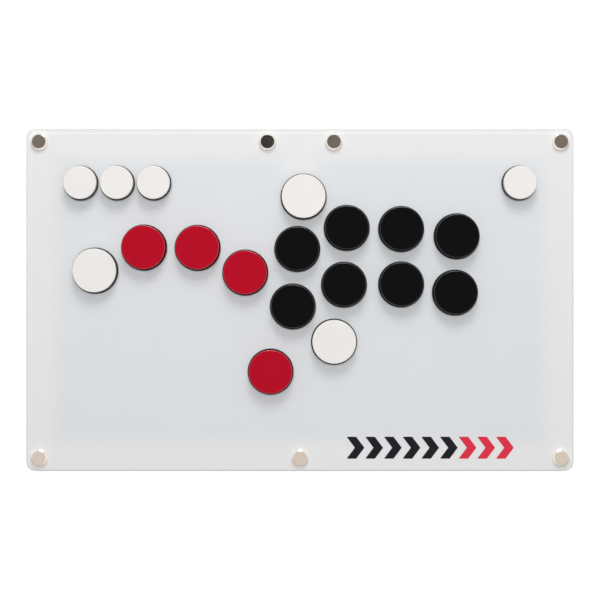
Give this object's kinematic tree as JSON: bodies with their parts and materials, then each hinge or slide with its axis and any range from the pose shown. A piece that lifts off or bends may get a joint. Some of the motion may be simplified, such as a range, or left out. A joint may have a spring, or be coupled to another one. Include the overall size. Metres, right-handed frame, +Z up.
{
  "type": "leverless arcade controller",
  "caption": "Flat acrylic game controller with round sprung push buttons in place of a joystick, for both hands, standing on rubber feet.",
  "frame": {"origin": "middle of the rest plane under the feet", "axes": "+X to the player's right, +Y away from the player, +Z up"},
  "size_m": [0.4, 0.25, 0.0495],
  "materials": {
    "frosted_acrylic": "translucent white acrylic, satin face and polished edges",
    "polished_steel": "polished, wide chamfer",
    "collar_black": "moulded black, slight gloss",
    "cap_white": "fine satin moulding",
    "cap_red": "fine satin moulding",
    "cap_black": "fine satin moulding",
    "board_green": "solder mask over glass laminate",
    "socket_steel": "plated sheet steel",
    "spacer_nylon": "natural nylon",
    "foot_rubber": "matte"
  },
  "bodies": {
    "case": {"base_plate": "frosted_acrylic", "side_frame": "frosted_acrylic", "top_plate": "frosted_acrylic", "cap_screw_rear_left": "polished_steel", "cap_screw_rear_middle_left": "polished_steel", "cap_screw_rear_middle_right": "polished_steel", "cap_screw_rear_right": "polished_steel", "cap_screw_front_left": "polished_steel", "cap_screw_front_middle": "polished_steel", "cap_screw_front_right": "polished_steel", "foot_front_left": "foot_rubber", "foot_front_right": "foot_rubber", "foot_rear_left": "foot_rubber", "foot_rear_right": "foot_rubber", "circuit_board": "board_green", "board_spacer_front_left": "spacer_nylon", "board_spacer_front_right": "spacer_nylon", "board_spacer_rear_left": "spacer_nylon", "board_spacer_rear_right": "spacer_nylon", "usb_socket": "socket_steel", "housing_menu_1": "collar_black", "housing_menu_2": "collar_black", "housing_menu_3": "collar_black", "housing_home": "collar_black", "housing_extra_left": "collar_black", "housing_extra_rear": "collar_black", "housing_extra_front": "collar_black", "housing_left": "collar_black", "housing_down": "collar_black", "housing_right": "collar_black", "housing_up": "collar_black", "housing_action_1": "collar_black", "housing_action_2": "collar_black", "housing_action_3": "collar_black", "housing_action_4": "collar_black", "housing_action_5": "collar_black", "housing_action_6": "collar_black", "housing_action_7": "collar_black", "housing_action_8": "collar_black"},
    "button_menu_1": {"cap_menu_1": "cap_white"},
    "button_menu_2": {"cap_menu_2": "cap_white"},
    "button_menu_3": {"cap_menu_3": "cap_white"},
    "button_home": {"cap_home": "cap_white"},
    "button_extra_left": {"cap_extra_left": "cap_white"},
    "button_extra_rear": {"cap_extra_rear": "cap_white"},
    "button_extra_front": {"cap_extra_front": "cap_white"},
    "button_left": {"cap_left": "cap_red"},
    "button_down": {"cap_down": "cap_red"},
    "button_right": {"cap_right": "cap_red"},
    "button_up": {"cap_up": "cap_red"},
    "button_action_1": {"cap_action_1": "cap_black"},
    "button_action_2": {"cap_action_2": "cap_black"},
    "button_action_3": {"cap_action_3": "cap_black"},
    "button_action_4": {"cap_action_4": "cap_black"},
    "button_action_5": {"cap_action_5": "cap_black"},
    "button_action_6": {"cap_action_6": "cap_black"},
    "button_action_7": {"cap_action_7": "cap_black"},
    "button_action_8": {"cap_action_8": "cap_black"}
  },
  "joints": [
    {"name": "press_menu_1", "type": "slide", "parent": "case", "child": "button_menu_1", "axis": [0, 0, -1], "range_m": [0, 0.0025], "stiffness_N_per_m": 120, "springref_m": -0.003},
    {"name": "press_menu_2", "type": "slide", "parent": "case", "child": "button_menu_2", "axis": [0, 0, -1], "range_m": [0, 0.0025], "stiffness_N_per_m": 120, "springref_m": -0.003},
    {"name": "press_menu_3", "type": "slide", "parent": "case", "child": "button_menu_3", "axis": [0, 0, -1], "range_m": [0, 0.0025], "stiffness_N_per_m": 120, "springref_m": -0.003},
    {"name": "press_home", "type": "slide", "parent": "case", "child": "button_home", "axis": [0, 0, -1], "range_m": [0, 0.0025], "stiffness_N_per_m": 120, "springref_m": -0.003},
    {"name": "press_extra_left", "type": "slide", "parent": "case", "child": "button_extra_left", "axis": [0, 0, -1], "range_m": [0, 0.0025], "stiffness_N_per_m": 120, "springref_m": -0.003},
    {"name": "press_extra_rear", "type": "slide", "parent": "case", "child": "button_extra_rear", "axis": [0, 0, -1], "range_m": [0, 0.0025], "stiffness_N_per_m": 120, "springref_m": -0.003},
    {"name": "press_extra_front", "type": "slide", "parent": "case", "child": "button_extra_front", "axis": [0, 0, -1], "range_m": [0, 0.0025], "stiffness_N_per_m": 120, "springref_m": -0.003},
    {"name": "press_left", "type": "slide", "parent": "case", "child": "button_left", "axis": [0, 0, -1], "range_m": [0, 0.0025], "stiffness_N_per_m": 120, "springref_m": -0.003},
    {"name": "press_down", "type": "slide", "parent": "case", "child": "button_down", "axis": [0, 0, -1], "range_m": [0, 0.0025], "stiffness_N_per_m": 120, "springref_m": -0.003},
    {"name": "press_right", "type": "slide", "parent": "case", "child": "button_right", "axis": [0, 0, -1], "range_m": [0, 0.0025], "stiffness_N_per_m": 120, "springref_m": -0.003},
    {"name": "press_up", "type": "slide", "parent": "case", "child": "button_up", "axis": [0, 0, -1], "range_m": [0, 0.0025], "stiffness_N_per_m": 120, "springref_m": -0.003},
    {"name": "press_action_1", "type": "slide", "parent": "case", "child": "button_action_1", "axis": [0, 0, -1], "range_m": [0, 0.0025], "stiffness_N_per_m": 120, "springref_m": -0.003},
    {"name": "press_action_2", "type": "slide", "parent": "case", "child": "button_action_2", "axis": [0, 0, -1], "range_m": [0, 0.0025], "stiffness_N_per_m": 120, "springref_m": -0.003},
    {"name": "press_action_3", "type": "slide", "parent": "case", "child": "button_action_3", "axis": [0, 0, -1], "range_m": [0, 0.0025], "stiffness_N_per_m": 120, "springref_m": -0.003},
    {"name": "press_action_4", "type": "slide", "parent": "case", "child": "button_action_4", "axis": [0, 0, -1], "range_m": [0, 0.0025], "stiffness_N_per_m": 120, "springref_m": -0.003},
    {"name": "press_action_5", "type": "slide", "parent": "case", "child": "button_action_5", "axis": [0, 0, -1], "range_m": [0, 0.0025], "stiffness_N_per_m": 120, "springref_m": -0.003},
    {"name": "press_action_6", "type": "slide", "parent": "case", "child": "button_action_6", "axis": [0, 0, -1], "range_m": [0, 0.0025], "stiffness_N_per_m": 120, "springref_m": -0.003},
    {"name": "press_action_7", "type": "slide", "parent": "case", "child": "button_action_7", "axis": [0, 0, -1], "range_m": [0, 0.0025], "stiffness_N_per_m": 120, "springref_m": -0.003},
    {"name": "press_action_8", "type": "slide", "parent": "case", "child": "button_action_8", "axis": [0, 0, -1], "range_m": [0, 0.0025], "stiffness_N_per_m": 120, "springref_m": -0.003}
  ]
}
